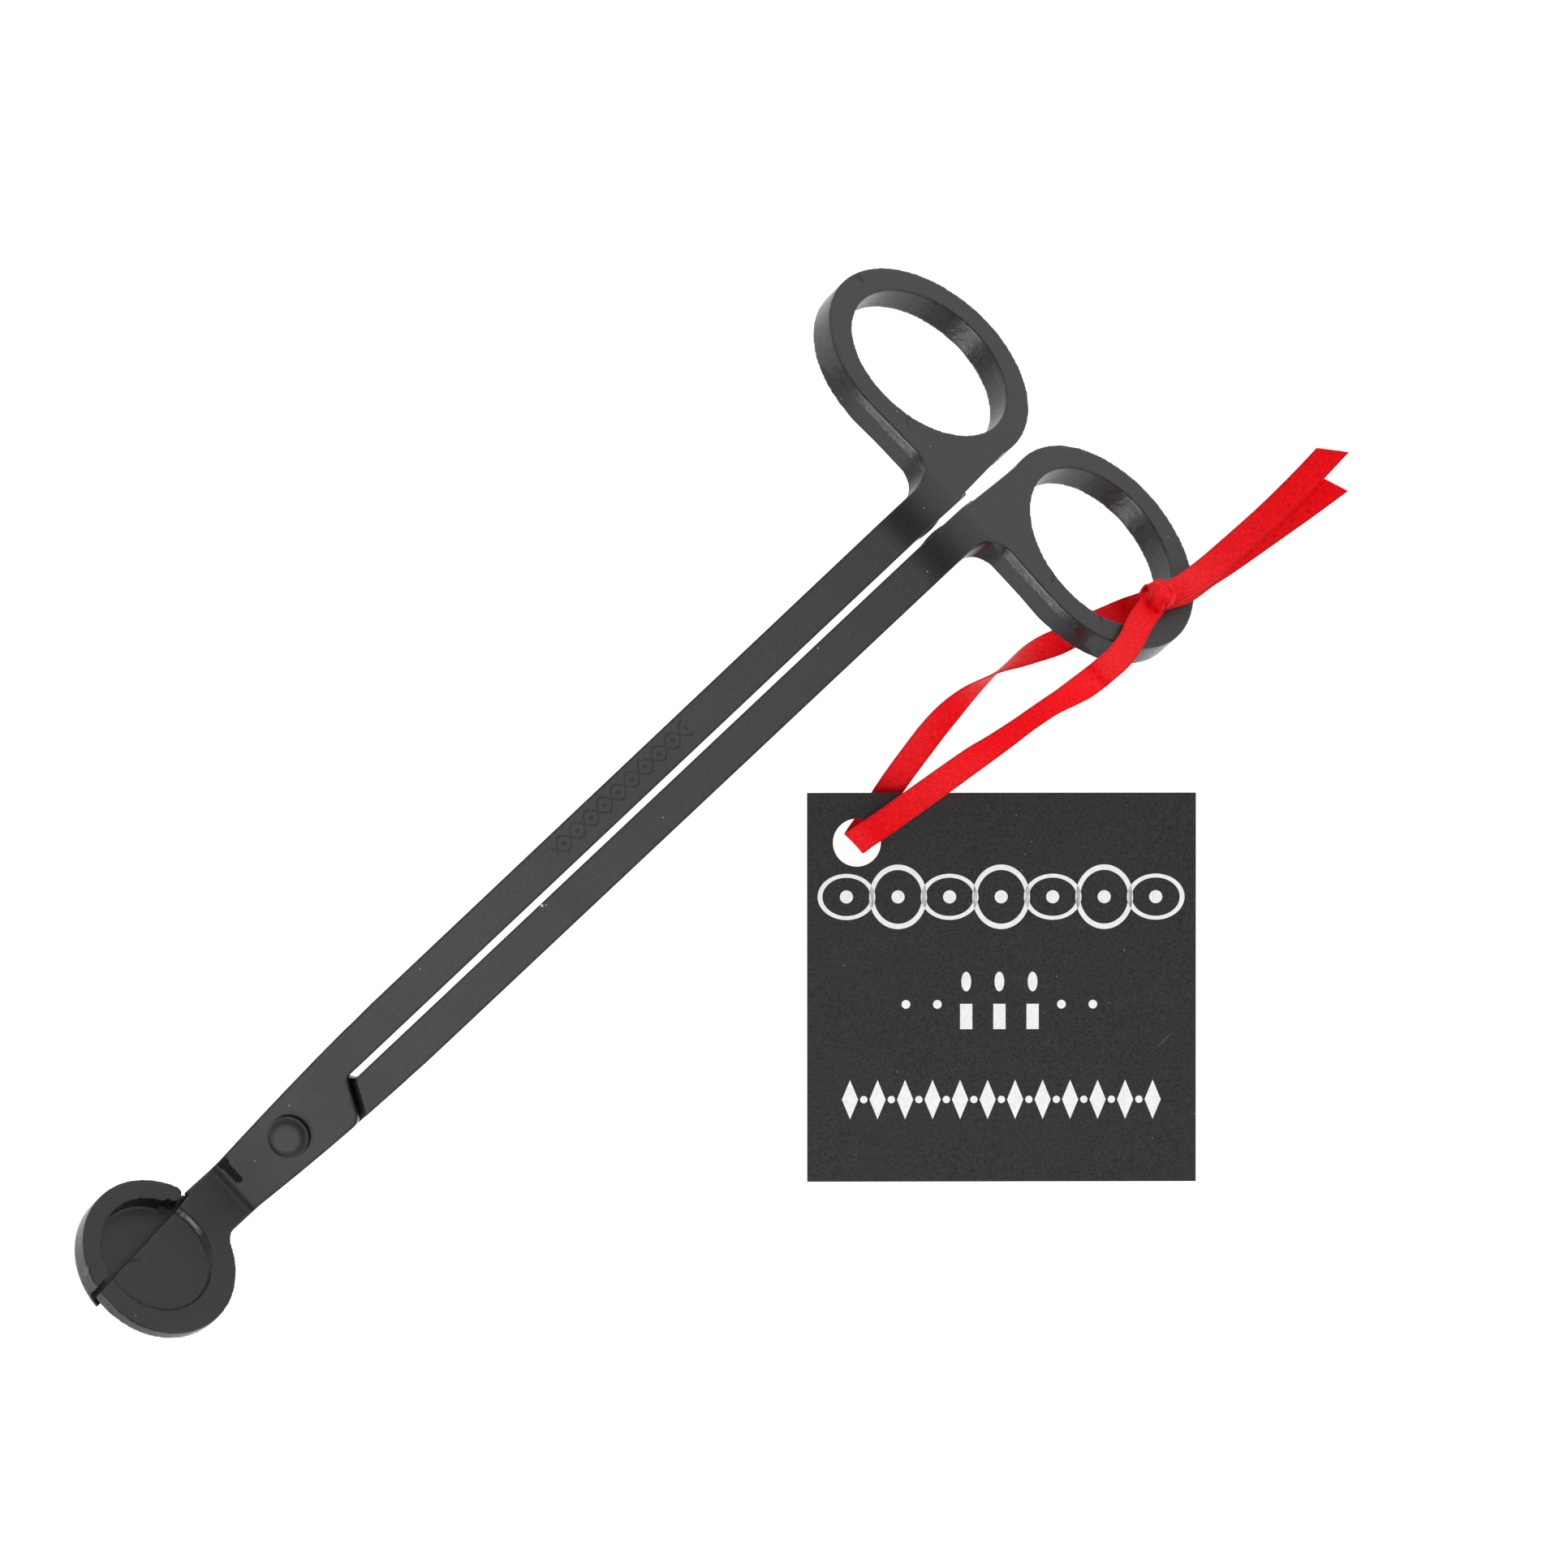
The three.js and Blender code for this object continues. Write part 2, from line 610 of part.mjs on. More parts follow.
const upperTailPoints = [
  [69.8, -23.8, 11.0],
  [73.0, -24.3, 7.8],
  [76.2, -24.5, 5.6],
  [82.4, -24.7, 3.4],
  [88.0, -24.6, 2.3],
  [94.0, -24.2, 1.6],
];

const lowerTailPoints = [
  [69.4, -24.2, 9.6],
  [72.7, -24.7, 6.3],
  [76.0, -25.3, 3.9],
  [81.5, -26.1, 2.0],
  [86.5, -26.8, 1.0],
  [91.3, -27.4, 0.6],
];

const all = () => 1;
const clampShare = (value) => Math.min(1, Math.max(0, value));
const loopOver = (index) => clampShare((12 - index) / 4);
const loopNear = (index) => Math.max(loopOver(index), clampShare((index - 18) / 4));

function knot() {
  const ball = new THREE.SphereGeometry(1, 24, 16).scale(...KNOT_RADII);
  return toSolid(ball.rotateY(KNOT_SLOPE).translate(...risen([KNOT_PLACE], all, all)[0]));
}

// The card lies on the corner farthest from its hole, and the ribbon under it lifts the rest.
const tag = new THREE.Group();
const tagMesh = toMesh(hangTag(), "hang_tag", blackCard);
tagMesh.position.set(-TAG_SIDE / 2, TAG_SIDE / 2, 0);
const diagonal = new THREE.Vector3(1, 1, 0).normalize();
tag.add(tagMesh);
tag.rotateZ(TAG_TURN);
tag.rotateOnAxis(diagonal, TAG_TILT);
tag.position.set(TAG_CORNER[0], TAG_CORNER[1], CLEAR);

// They follow the ring along the table when the arms change size.
const knotted = new THREE.Group();
knotted.add(toMesh(ribbon(risen(loopPoints, loopOver, loopNear), 44), "ribbon_loop", redSatin));
knotted.add(toMesh(ribbon(risen(upperTailPoints, all, all), 12), "ribbon_tail_upper", redSatin));
knotted.add(toMesh(ribbon(risen(lowerTailPoints, all, all), 12), "ribbon_tail_lower", redSatin));
knotted.add(toMesh(knot(), "ribbon_knot", redSatin), tag);
knotted.position.set(RING_SHIFT[0], RING_SHIFT[1], 0);

const root = new THREE.Group();
root.add(trimmer, knotted);

export default root;
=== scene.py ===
"""A black candle wick trimmer with a card tag tied to one of its finger rings by a red ribbon."""

import json
import math

import bmesh
import bpy
from bpy.props import FloatProperty, FloatVectorProperty, PointerProperty
from mathutils import Matrix, Quaternion, Vector

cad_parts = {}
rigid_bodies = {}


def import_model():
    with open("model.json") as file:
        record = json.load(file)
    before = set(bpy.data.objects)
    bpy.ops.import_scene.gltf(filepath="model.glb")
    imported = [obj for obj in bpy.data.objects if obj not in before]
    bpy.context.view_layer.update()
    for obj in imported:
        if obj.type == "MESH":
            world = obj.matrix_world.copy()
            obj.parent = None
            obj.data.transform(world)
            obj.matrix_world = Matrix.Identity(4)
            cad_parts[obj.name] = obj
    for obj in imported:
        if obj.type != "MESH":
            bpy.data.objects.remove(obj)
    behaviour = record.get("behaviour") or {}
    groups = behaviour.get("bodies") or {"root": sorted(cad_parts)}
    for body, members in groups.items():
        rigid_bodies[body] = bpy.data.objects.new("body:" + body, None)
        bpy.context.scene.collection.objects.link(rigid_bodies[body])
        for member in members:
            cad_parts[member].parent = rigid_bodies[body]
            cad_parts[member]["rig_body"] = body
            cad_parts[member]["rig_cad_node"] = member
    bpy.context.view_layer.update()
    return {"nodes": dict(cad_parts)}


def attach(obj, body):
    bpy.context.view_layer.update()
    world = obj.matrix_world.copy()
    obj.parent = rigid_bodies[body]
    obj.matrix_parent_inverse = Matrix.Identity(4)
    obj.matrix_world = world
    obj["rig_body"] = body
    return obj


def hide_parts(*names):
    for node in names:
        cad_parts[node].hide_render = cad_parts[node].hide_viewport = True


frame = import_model()

bl_info = {
    "name": "Wick trimmer",
    "version": (1, 0, 0),
    "blender": (4, 5, 0),
    "location": "3D View > Sidebar > Trimmer",
    "description": "Builds the wick trimmer, its ribbon and its card tag round the packed frame",
    "category": "Object",
}

MM = 0.001

# The trimmer rests on its neck bend and on the far ends of its rings, so its shanks slope.
SHANK_SLOPE = math.radians(12.22)
HEAD_SLOPE = math.radians(43.78)
RING_SLOPE = math.radians(49.78)
NECK_BEND = (-58.6 * MM, -54.4 * MM)
RING_BEND = (48.0 * MM, 56.5 * MM)

# The card lies on one corner; these place its own plane in the row's frame.
CARD_SIDE = 44.5 * MM
CARD_THICKNESS = 0.6 * MM
CARD_CORNER = Vector((24.81, -74.66, 0.02)) * MM
CARD_TURN = math.radians(-43.1)
CARD_TILT = math.radians(1.4)


# ---- sizes and colours ----


class TrimmerFinish(bpy.types.PropertyGroup):
    edge_rounding: FloatProperty(
        name="Edge rounding",
        description="How finely the steel's worn edges are rounded over",
        default=0.23 * MM,
        min=0.2 * MM,
        max=0.5 * MM,
        unit="LENGTH",
    )
    steel_colour: FloatVectorProperty(
        name="Steel colour",
        description="Satin black of the flat faces",
        default=(0.0078, 0.0080, 0.0086),
        subtype="COLOR",
        min=0,
        max=1,
    )
    wall_colour: FloatVectorProperty(
        name="Wall colour",
        description="Brighter black of the ground side walls",
        default=(0.0062, 0.0063, 0.0072),
        subtype="COLOR",
        min=0,
        max=1,
    )


class RibbonFinish(bpy.types.PropertyGroup):
    width: FloatProperty(
        name="Ribbon width",
        description="From edge to edge of the satin ribbon",
        default=3.05 * MM,
        min=1 * MM,
        max=6 * MM,
        unit="LENGTH",
    )
    thickness: FloatProperty(
        name="Ribbon thickness",
        description="Of the woven satin",
        default=0.24 * MM,
        min=0.05 * MM,
        max=0.6 * MM,
        unit="LENGTH",
    )
    colour: FloatVectorProperty(
        name="Ribbon colour",
        description="Red of the satin",
        default=(0.80, 0.0, 0.004),
        subtype="COLOR",
        min=0,
        max=1,
    )


class CardFinish(bpy.types.PropertyGroup):
    colour: FloatVectorProperty(
        name="Card colour",
        description="Black of the card",
        default=(0.016, 0.016, 0.0145),
        subtype="COLOR",
        min=0,
        max=1,
    )
    ink: FloatVectorProperty(
        name="Ink colour",
        description="White of the printed ornament",
        default=(0.86, 0.86, 0.86),
        subtype="COLOR",
        min=0,
        max=1,
    )


# ---- shader helpers ----


class Nodes:
    """Adds nodes to one material and wires them, a call to a node."""

    def __init__(self, name):
        self.material = bpy.data.materials.new(name)
        self.material.use_nodes = True
        self.tree = self.material.node_tree
        self.tree.nodes.clear()
        self.output = self.tree.nodes.new("ShaderNodeOutputMaterial")

    def add(self, kind, inputs=None, **settings):
        node = self.tree.nodes.new("ShaderNode" + kind)
        for key, value in settings.items():
            setattr(node, key, value)
        for key, value in (inputs or {}).items():
            self.feed(node.inputs[key], value)
        return node

    def feed(self, socket, value):
        if isinstance(value, bpy.types.NodeSocket):
            self.tree.links.new(value, socket)
        elif isinstance(value, bpy.types.Node):
            self.tree.links.new(value.outputs[0], socket)
        else:
            socket.default_value = value

    def maths(self, operation, a, b=None, c=None, clamp=False):
        node = self.add("Math", operation=operation, use_clamp=clamp)
        for socket, value in zip(node.inputs, (a, b, c)):
            if value is not None:
                self.feed(socket, value)
        return node.outputs[0]

    def ramp(self, value, stops):
        node = self.add("ValToRGB", {"Fac": value})
        ends = node.color_ramp.elements
        while len(ends) < len(stops):
            ends.new(0.5)
        for element, (place, level) in zip(ends, stops):
            element.position = place
            element.color = (level, level, level, 1)
        return node.outputs[0]

    def spread(self, value, low, high):
        """Spreads a noise's middle range over low to high."""
        ends = {"From Min": 0.3, "From Max": 0.7, "To Min": low, "To Max": high}
        return self.add("MapRange", {"Value": value, **ends}).outputs[0]

    def mix(self, factor, a, b):
        node = self.add("Mix", data_type="RGBA")
        self.feed(node.inputs[0], factor)
        self.feed(node.inputs[6], a)
        self.feed(node.inputs[7], b)
        return node.outputs[2]

    def objects(self, scale=(1, 1, 1), turn=(0, 0, 0)):
        where = self.add("TexCoord").outputs["Object"]
        return self.add("Mapping", {"Vector": where, "Scale": scale, "Rotation": turn}).outputs[0]

    def finish(self, shader):
        self.tree.links.new(shader.outputs[0], self.output.inputs["Surface"])
        return self.material


def rgba(colour, gain=1.0):
    return tuple(channel * gain for channel in colour) + (1.0,)


def dust(n, where, scale, level):
    """Bright specks a fraction of a millimetre across, scattered thinly."""
    cells = n.add("TexVoronoi", {"Vector": where, "Scale": scale, "Randomness": 1.0})
    speck = n.maths("LESS_THAN", cells.outputs["Distance"], 0.09)
    chance = n.add("SeparateColor", {"Color": cells.outputs["Color"]}).outputs[0]
    return n.maths("MULTIPLY", speck, n.maths("GREATER_THAN", chance, level))


def scroll_mask(n, where):
    """The etched ornament on the upper shank: two crossing waves and a row of dots between them."""
    parts = n.add("SeparateXYZ", {"Vector": where})
    along = n.maths("MULTIPLY", parts.outputs[0], 1000.0)
    across = n.maths("SUBTRACT", n.maths("MULTIPLY", parts.outputs[1], 1000.0), 2.77)
    phase = n.maths("MULTIPLY", along, 2 * math.pi / 4.2)
    lines = []
    for sign in (1.0, -1.0):
        wave = n.maths("MULTIPLY", n.maths("SINE", phase), 0.95 * sign)
        lines.append(n.maths("ABSOLUTE", n.maths("SUBTRACT", across, wave)))
    near = n.maths("MINIMUM", lines[0], lines[1])
    cell = n.maths("PINGPONG", n.maths("ADD", along, 1.05), 1.05)
    dot = n.maths("SQRT", n.maths("ADD", n.maths("POWER", cell, 2.0), n.maths("POWER", across, 2.0)))
    near = n.maths("MINIMUM", near, n.maths("SUBTRACT", dot, 0.14))
    drawn = n.maths("LESS_THAN", near, 0.14)
    inside = n.maths("MULTIPLY", n.maths("GREATER_THAN", along, -2.6), n.maths("LESS_THAN", along, 18.0))
    return n.maths("MULTIPLY", drawn, inside)


# ---- materials ----


def satin_steel(colour, wall_colour, etched=False):
    """Satin black coating on the flat faces, turning to streaked, smoother steel on the side walls."""
    n = Nodes("satin_black_steel_etched" if etched else "satin_black_steel")
    where = n.objects()
    wall = n.add("Attribute", attribute_name="wall").outputs["Fac"]
    grain = n.add("TexNoise", {"Vector": where, "Scale": 6500.0, "Detail": 3.0, "Roughness": 0.8})
    cloud = n.add("TexNoise", {"Vector": where, "Scale": 70.0, "Detail": 4.0, "Roughness": 0.6})
    scratched = n.objects(scale=(20.0, 900.0, 20.0), turn=(0, 0, 0.12))
    scratch = n.add("TexNoise", {"Vector": scratched, "Scale": 1.0, "Detail": 2.0})
    hair = n.ramp(scratch.outputs[0], [(0.745, 0.0), (0.77, 1.0)])
    tone = n.mix(n.ramp(grain.outputs[0], [(0.3, 0.0), (0.7, 1.0)]), rgba(colour, 0.1), rgba(colour, 2.4))
    tone = n.mix(n.ramp(cloud.outputs[0], [(0.35, 0.0), (0.7, 0.4)]), tone, rgba(colour, 1.5))
    tone = n.mix(n.maths("MULTIPLY", hair, 0.15), tone, (0.1, 0.1, 0.11, 1))
    tone = n.mix(dust(n, where, 1100.0, 0.955), tone, (0.3, 0.3, 0.3, 1))
    tone = n.mix(dust(n, where, 520.0, 0.985), tone, (0.4, 0.4, 0.4, 1))
    rough = n.spread(cloud.outputs[0], 0.39, 0.46)
    height = grain.outputs[0]
    if etched:
        mask = scroll_mask(n, where)
        tone = n.mix(n.maths("MULTIPLY", mask, 0.7), tone, (0.003, 0.003, 0.003, 1))
        rough = n.maths("ADD", rough, n.maths("MULTIPLY", mask, 0.12))
        height = n.maths("SUBTRACT", height, n.maths("MULTIPLY", mask, 2.0))
    streaked = n.objects(scale=(1500.0, 1500.0, 220.0), turn=(0, 0.35, 0))
    streak = n.add("TexNoise", {"Vector": streaked, "Scale": 1.0, "Detail": 4.0, "Roughness": 0.65})
    pits = n.add("TexNoise", {"Vector": where, "Scale": 1300.0, "Detail": 4.0})
    bands = n.ramp(streak.outputs[0], [(0.35, 0.0), (0.65, 1.0)])
    ground = n.mix(bands, rgba(wall_colour, 0.3), rgba(wall_colour, 2.2))
    polish = n.spread(pits.outputs[0], 0.22, 0.34)
    tone = n.mix(wall, tone, ground)
    rough = n.add("Mix", {0: wall, 2: rough, 3: polish}).outputs[0]
    height = n.add("Mix", {0: wall, 2: height, 3: n.maths("MULTIPLY", streak.outputs[0], 2.0)}).outputs[0]
    bump = n.add("Bump", {"Height": height, "Strength": 0.6, "Distance": 0.00004})
    shine = n.add("Mix", {0: wall, 2: 1.42, 3: 1.55}).outputs[0]
    shader = n.add("BsdfPrincipled", {"Base Color": tone, "Roughness": rough, "Normal": bump, "IOR": shine})
    return n.finish(shader)


def red_satin(colour):
    """Woven satin: long floats along the ribbon, stitched edges, a soft silky sheen, partly from its low
    specular and partly from pale glints painted into the colour.
    """
    n = Nodes("red_satin")
    uv = n.add("TexCoord").outputs["UV"]
    parts = n.add("SeparateXYZ", {"Vector": uv})
    across, along = parts.outputs[0], parts.outputs[1]
    floats = n.add("Mapping", {"Vector": uv, "Scale": (26.0, 1.4, 1.0)})
    thread = n.add("TexNoise", {"Vector": floats, "Scale": 1.0, "Detail": 2.5, "Roughness": 0.65})
    waves = {"Vector": uv, "Scale": 9.0, "Distortion": 1.2, "Detail": 2.0}
    warp = n.add("TexWave", waves, bands_direction="X")
    edge = n.maths("ABSOLUTE", n.maths("SUBTRACT", across, 0.5))
    selvedge = n.ramp(edge, [(0.40, 0.0), (0.44, 1.0)])
    stitch = n.maths("GREATER_THAN", n.maths("SINE", n.maths("MULTIPLY", along, 2 * math.pi / 0.42)), 0.1)
    picot = n.maths("MULTIPLY", selvedge, stitch)
    dark, light = (colour[0] * 0.45, 0.0, 0.0), (colour[0] * 1.2, 0.0, 0.006)
    tone = n.mix(n.ramp(thread.outputs[0], [(0.25, 0.0), (0.6, 1.0)]), rgba(dark), rgba(light))
    # Painted highlight: pale pink glints painted into the colour where the thread noise is brightest.
    painted_glint = n.ramp(thread.outputs[0], [(0.62, 0.0), (0.74, 1.0)])
    tone = n.mix(n.maths("MULTIPLY", painted_glint, 0.35), tone, (0.95, 0.06, 0.07, 1))
    tone = n.mix(n.maths("MULTIPLY", picot, 0.55), tone, (0.26, 0.0, 0.002, 1))
    height = n.maths("ADD", thread.outputs[0], n.maths("MULTIPLY", warp.outputs[1], 0.3))
    height = n.maths("SUBTRACT", height, n.maths("MULTIPLY", picot, 0.6))
    bump = n.add("Bump", {"Height": height, "Strength": 0.5, "Distance": 0.00006})
    shader = n.add(
        "BsdfPrincipled",
        {"Base Color": tone, "Roughness": 0.5, "Normal": bump, "Specular IOR Level": 0.12},
    )
    return n.finish(shader)


def black_card(colour):
    """Uncoated black card: paper fibre, pale flecks and a few rubbed marks."""
    n = Nodes("black_card")
    where = n.objects()
    fibre = n.add("TexNoise", {"Vector": where, "Scale": 3200.0, "Detail": 4.0, "Roughness": 0.75})
    cloud = n.add("TexNoise", {"Vector": where, "Scale": 90.0, "Detail": 3.0})
    tone = n.mix(n.ramp(fibre.outputs[0], [(0.3, 0.0), (0.7, 1.0)]), rgba(colour, 0.1), rgba(colour, 2.2))
    tone = n.mix(n.ramp(cloud.outputs[0], [(0.4, 0.0), (0.8, 0.4)]), tone, rgba(colour, 1.5))
    tone = n.mix(dust(n, where, 1300.0, 0.955), tone, (0.22, 0.22, 0.2, 1))
    rubbed = n.objects(scale=(60.0, 1100.0, 1.0), turn=(0, 0, 0.9))
    rub = n.add("TexNoise", {"Vector": rubbed, "Scale": 1.0, "Detail": 1.0})
    mark = n.ramp(rub.outputs[0], [(0.76, 0.0), (0.79, 1.0)])
    tone = n.mix(n.maths("MULTIPLY", mark, 0.2), tone, (0.2, 0.2, 0.2, 1))
    bump = n.add("Bump", {"Height": fibre.outputs[0], "Strength": 0.3, "Distance": 0.00003})
    shader = n.add("BsdfPrincipled", {"Base Color": tone, "Roughness": 0.62, "Normal": bump, "IOR": 1.4})
    return n.finish(shader)


def white_ink(colour):
    """White ink, a little uneven where it sank into the card."""
    n = Nodes("white_ink")
    where = n.objects()
    patch = n.add("TexNoise", {"Vector": where, "Scale": 2400.0, "Detail": 3.0})
    tone = n.mix(n.ramp(patch.outputs[0], [(0.3, 0.0), (0.62, 1.0)]), rgba(colour, 0.88), rgba(colour))
    shader = n.add("BsdfPrincipled", {"Base Color": tone, "Roughness": 0.6})
    return n.finish(shader)


# ---- mesh helpers ----


def deselect():
    if bpy.context.mode != "OBJECT":
        bpy.ops.object.mode_set(mode="OBJECT")
    bpy.ops.object.select_all(action="DESELECT")


def activate(obj):
    deselect()
    obj.select_set(True)
    bpy.context.view_layer.objects.active = obj


def apply_place(obj):
    activate(obj)
    bpy.ops.object.transform_apply(location=True, rotation=True, scale=True)


def give(obj, *materials):
    obj.data.materials.clear()
    for material in materials:
        obj.data.materials.append(material)


def apply_modifiers(obj):
    activate(obj)
    for modifier in list(obj.modifiers):
        bpy.ops.object.modifier_apply(modifier=modifier.name)


def wall_share(place, normal):
    """How far a point of the steel is turned from the stock's flat face to its side wall."""
    if NECK_BEND[0] < place.x < NECK_BEND[1] or RING_BEND[0] < place.x < RING_BEND[1]:
        flat = math.sqrt(max(0.0, 1 - normal.y**2))
    else:
        slope = -SHANK_SLOPE
        if place.x < NECK_BEND[0]:
            slope = HEAD_SLOPE
        elif place.x > RING_BEND[1]:
            slope = RING_SLOPE
        flat = abs(normal.dot(Vector((math.sin(slope), 0, math.cos(slope)))))
    share = min(1.0, max(0.0, (0.80 - flat) / 0.25))
    return share * share * (3 - 2 * share)


def rounded_copy(name, node, grain):
    """The frame's own shape with its edges worn round, and how far each point is turned to a side wall."""
    source = frame["nodes"][node]
    activate(source)
    bpy.ops.object.duplicate()
    piece = bpy.context.active_object
    piece.name = name
    piece.parent = None
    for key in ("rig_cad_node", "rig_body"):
        if key in piece:
            del piece[key]
    activate(piece)
    bpy.ops.object.mode_set(mode="EDIT")
    bpy.ops.mesh.select_all(action="SELECT")
    bpy.ops.mesh.remove_doubles(threshold=3e-6)
    bpy.ops.object.mode_set(mode="OBJECT")
    piece.data.remesh_voxel_size = grain
    piece.data.remesh_voxel_adaptivity = 0
    bpy.ops.object.voxel_remesh()
    worn = piece.modifiers.new("worn_edges", "SMOOTH")
    worn.factor = 0.5
    worn.iterations = 2
    apply_modifiers(piece)
    bpy.ops.object.shade_smooth()
    wall = piece.data.attributes.new("wall", "FLOAT", "POINT")
    for vertex, value in zip(piece.data.vertices, wall.data):
        value.value = wall_share(vertex.co, vertex.normal)
    return piece


# ---- camera, lights, floor ----


class TRIMMER_OT_stage(bpy.types.Operator):
    """Set up the camera, the soft light and the white table"""

    bl_idname = "trimmer.stage"
    bl_label = "Stage"

    def execute(self, context):
        scene = context.scene
        scene.view_settings.view_transform = "Standard"
        self.camera(scene)
        self.world(scene)
        self.lights()
        self.table()
        return {"FINISHED"}

    def camera(self, scene):
        bpy.ops.object.camera_add(
            location=(21.5 * MM, -9.25 * MM, 0.7), rotation=(0, 0, math.radians(-43.14))
        )
        camera = bpy.context.active_object
        camera.name = "camera"
        camera.data.sensor_width = 36
        camera.data.lens = 140.2
        camera.data.clip_start = 0.01
        scene.camera = camera

    def world(self, scene):
        """A bright horizon, brightest beyond the rings, under a dark ceiling."""
        world = bpy.data.worlds.new("studio")
        scene.world = world
        world.use_nodes = True
        nodes, links = world.node_tree.nodes, world.node_tree.links
        where = nodes.new("ShaderNodeTexCoord")
        parts = nodes.new("ShaderNodeSeparateXYZ")
        ramp = nodes.new("ShaderNodeValToRGB")
        side = nodes.new("ShaderNodeMath")
        level = nodes.new("ShaderNodeMath")
        side.operation, level.operation = "MULTIPLY_ADD", "MULTIPLY"
        side.inputs[1].default_value, side.inputs[2].default_value = 0.6, 0.88
        links.new(where.outputs["Generated"], parts.inputs[0])
        links.new(parts.outputs[2], ramp.inputs[0])
        links.new(parts.outputs[0], side.inputs[0])
        links.new(side.outputs[0], level.inputs[0])
        links.new(ramp.outputs[0], level.inputs[1])
        ends = ramp.color_ramp.elements
        stops = ((0.0, 0.9), (0.3, 1.35), (0.66, 1.2), (0.82, 0.15), (0.95, 0.0))
        for place, light in stops[1:-1]:
            ends.new(place).color = (light, light, light, 1)
        for end, (place, light) in ((ends[0], stops[0]), (ends[-1], stops[-1])):
            end.position = place
            end.color = (light, light, light, 1)
        ground = nodes["Background"]
        ground.inputs[0].default_value = (1, 1, 1, 1)
        links.new(level.outputs[0], ground.inputs[1])

    def lights(self):
        """Each is name, place, aim, size and power."""
        for name, place, aim, size, power in (
            ("head_softbox", (-0.66, 0.0, 0.62), (0, 0, 0), (0.46, 1.0), 7.5),
        ):
            bpy.ops.object.light_add(type="AREA", location=place)
            light = bpy.context.active_object
            light.name = name
            light.data.shape = "RECTANGLE"
            light.data.size, light.data.size_y = size
            light.data.energy = power
            light.data.color = (0.95, 0.97, 1.0)
            light.rotation_euler = (Vector(aim) - Vector(place)).to_track_quat("-Z", "Y").to_euler()

    def table(self):
        bpy.ops.mesh.primitive_plane_add(size=3, location=(0, 0, -0.05 * MM))
        table = bpy.context.active_object
        table.name = "table"
        n = Nodes("white_table")
        shader = n.add(
            "BsdfPrincipled",
            {
                "Base Color": (0.3, 0.3, 0.3, 1),
                "Roughness": 1.0,
                "Emission Color": (1, 1, 1, 1),
                "Emission Strength": 0.93,
            },
        )
        give(table, n.finish(shader))


# ---- ribbon ----

# Middle line of the loop in millimetres, and the roll of the ribbon's width there in degrees.
LOOP = [
    (65.6, -22.9, 14.3, 0),
    (63.9, -23.1, 16.1, 4),
    (62.6, -23.4, 17.6, 4),
    (60.4, -24.1, 20.0, 2),
    (58.2, -24.4, 22.7, 0),
    (56.4, -24.3, 24.9, 0),
    (54.9, -24.2, 26.0, 0),
    (52.9, -24.0, 24.6, -6),
    (51.0, -23.7, 21.4, -22),
    (48.6, -23.2, 17.6, -34),
    (45.7, -22.8, 13.8, -36),
    (42.5, -22.4, 10.6, -28),
    (39.2, -21.9, 8.0, -14),
    (35.3, -21.4, 5.8, -4),
    (31.4, -20.9, 4.3, 0),
    (27.5, -20.4, 3.4, 0),
    (24.3, -19.9, 3.0, 0),
    (22.7, -19.7, 1.9, 0),
    (23.7, -19.4, 0.7, 0),
    (26.2, -18.9, 0.45, 0),
    (30.0, -17.9, 0.6, 0),
    (34.5, -17.0, 1.9, 4),
    (39.5, -16.2, 4.4, 24),
    (44.5, -16.0, 7.6, 58),
    (49.0, -16.6, 11.6, 96),
    (52.2, -17.6, 14.6, 132),
    (55.0, -18.7, 15.9, 160),
    (57.6, -19.4, 14.9, 176),
    (60.2, -20.4, 12.9, 180),
    (62.9, -21.4, 11.9, 180),
    (65.3, -22.5, 12.6, 180),
]
UPPER_TAIL = [
    (66.6, -22.9, 12.9, 0),
    (69.8, -23.8, 11.0, -18),
    (73.0, -24.3, 7.8, -8),
    (76.2, -24.5, 5.6, 0),
    (82.4, -24.7, 3.4, 2),
    (88.0, -24.6, 2.3, 2),
    (93.4, -24.3, 1.6, 2),
]
LOWER_TAIL = [
    (64.7, -22.2, 13.9, 20),
    (66.9, -23.0, 12.2, 20),
    (69.4, -24.2, 9.6, 14),
    (72.7, -24.7, 6.3, 6),
    (76.0, -25.3, 3.9, 0),
    (81.5, -26.1, 2.0, 0),
    (86.5, -26.8, 1.0, 0),
    (91.0, -27.35, 0.6, 0),
]
KNOT_PLACE = Vector((66.6, -22.7, 13.4)) * MM
STEP = 0.45 * MM


def smooth_line(rows, step=STEP):
    """Even points and rolls along a Catmull-Rom curve through the rows."""
    rows = [Vector((*[v * MM for v in row[:3]], row[3])) for row in rows]
    rows = [2 * rows[0] - rows[1], *rows, 2 * rows[-1] - rows[-2]]
    fine = []
    for a, b, c, d in zip(rows, rows[1:], rows[2:], rows[3:]):
        for i in range(24):
            t = i / 24
            square, cube = 2 * a - 5 * b + 4 * c - d, 3 * b - a - 3 * c + d
            fine.append(0.5 * (2 * b + (c - a) * t + square * t * t + cube * t ** 3))
    fine.append(rows[-2])
    travelled = [0.0]
    for a, b in zip(fine, fine[1:]):
        travelled.append(travelled[-1] + (b.xyz - a.xyz).length)
    count = max(2, round(travelled[-1] / step))
    line, k = [], 0
    for i in range(count + 1):
        goal = travelled[-1] * i / count
        while k < len(fine) - 2 and travelled[k + 1] < goal:
            k += 1
        span = travelled[k + 1] - travelled[k]
        t = (goal - travelled[k]) / span if span else 0
        line.append(fine[k].lerp(fine[k + 1], t))
    return line, travelled[-1]


